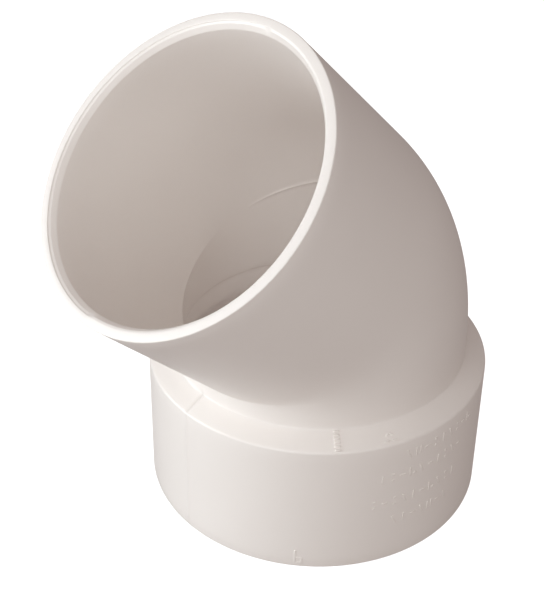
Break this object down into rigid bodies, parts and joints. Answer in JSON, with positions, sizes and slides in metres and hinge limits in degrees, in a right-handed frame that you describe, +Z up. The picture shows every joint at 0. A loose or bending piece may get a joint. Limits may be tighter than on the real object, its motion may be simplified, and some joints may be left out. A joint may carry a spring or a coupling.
{
  "type": "pvc conduit elbow",
  "caption": "White moulded PVC elbow of 45 degrees for conduit: a belled socket at the foot, a bend with a sharp throat, and a leaning leg that ends in a plain spigot.",
  "frame": {"origin": "the centre of the socket's mouth, on the plane that the elbow stands on", "axes": "+Z runs up the socket's axis out of its closed end, -Y is the way the leg leans, and YZ is the plane of the bend, which is also the plane of symmetry"},
  "size_m": [0.1316, 0.1709, 0.1937],
  "materials": {
    "white_pvc": "satin as moulded, warm white"
  },
  "bodies": {
    "root": {"socket_hub": "white_pvc", "bend": "white_pvc", "spigot_leg": "white_pvc"}
  },
  "joints": []
}
